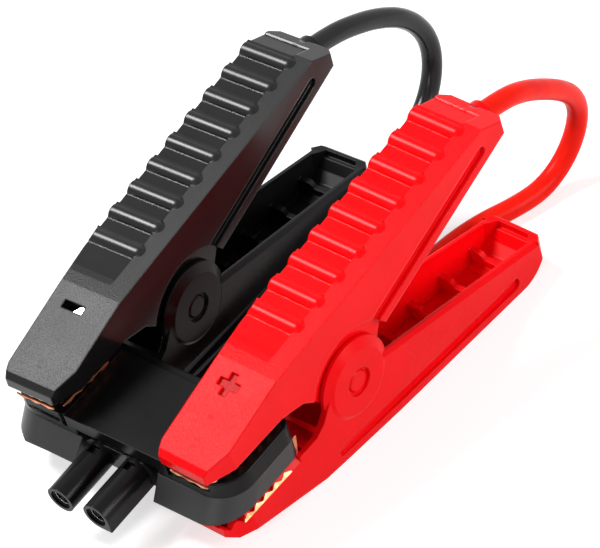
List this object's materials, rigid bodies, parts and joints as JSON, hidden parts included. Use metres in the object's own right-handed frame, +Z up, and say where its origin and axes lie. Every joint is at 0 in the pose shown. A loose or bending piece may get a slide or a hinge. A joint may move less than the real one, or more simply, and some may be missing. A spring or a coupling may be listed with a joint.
{
  "type": "jump starter clamp set",
  "caption": "Black and red spring clamps with copper jaws, biting a flat connector module with a two-barrel plug, and their cables.",
  "frame": {"origin": "on the floor, at the middle of the footprint from the plug's end to the back of the lower levers", "axes": "+X from the black clamp to the red clamp, +Y from the plug back to the grips, +Z up"},
  "size_m": [0.0758, 0.1788, 0.0595],
  "materials": {
    "black_plastic": "satin moulded plastic",
    "red_plastic": "satin moulded plastic",
    "module_plastic": "fine textured plastic",
    "copper": "bare folded copper",
    "steel": "plated steel",
    "spring_steel": "dark spring steel",
    "tinned_copper": "tinned metal",
    "black_rubber": "moulded rubber",
    "black_cable": "soft silicone jacket",
    "red_cable": "soft silicone jacket",
    "board": "coated circuit board"
  },
  "bodies": {
    "root": {"module_base": "module_plastic", "module_cover": "module_plastic", "circuit_board": "board", "relays": "module_plastic", "power_capacitor": "tinned_copper", "cover_screws": "steel", "module_glands": "black_rubber", "plug_body": "module_plastic", "plug_contacts": "tinned_copper", "black_lower_lever": "black_plastic", "black_lower_jaw": "copper", "black_lower_jaw_rivets": "steel", "black_pivot_pin": "steel", "black_spring_bush": "steel", "black_torsion_spring": "spring_steel", "black_cable": "black_cable", "red_lower_lever": "red_plastic", "red_lower_jaw": "copper", "red_lower_jaw_rivets": "steel", "red_pivot_pin": "steel", "red_spring_bush": "steel", "red_torsion_spring": "spring_steel", "red_cable": "red_cable"},
    "black_grip": {"black_upper_lever": "black_plastic", "black_upper_jaw": "copper", "black_upper_jaw_rivets": "steel", "black_cable_gland": "black_rubber", "black_inner_lead": "black_cable", "black_lead_lug": "tinned_copper"},
    "red_grip": {"red_upper_lever": "red_plastic", "red_upper_jaw": "copper", "red_upper_jaw_rivets": "steel", "red_cable_gland": "black_rubber", "red_inner_lead": "red_cable", "red_lead_lug": "tinned_copper"}
  },
  "joints": [
    {"name": "black_squeeze", "type": "hinge", "parent": "root", "child": "black_grip", "pos_m": [-0.026, -0.00465, 0.02025], "axis": [-0.9996, -0.0297, 0], "range_deg": [-2.2, 23.8], "stiffness_Nm_per_rad": 0.8, "springref_deg": -160.43, "deforming": ["black_torsion_spring", "black_cable"]},
    {"name": "red_squeeze", "type": "hinge", "parent": "root", "child": "red_grip", "pos_m": [0.026, -0.00465, 0.02025], "axis": [-0.9996, 0.0297, 0], "range_deg": [0, 26], "stiffness_Nm_per_rad": 0.8, "springref_deg": -34.38, "deforming": ["red_torsion_spring", "red_cable"]}
  ]
}
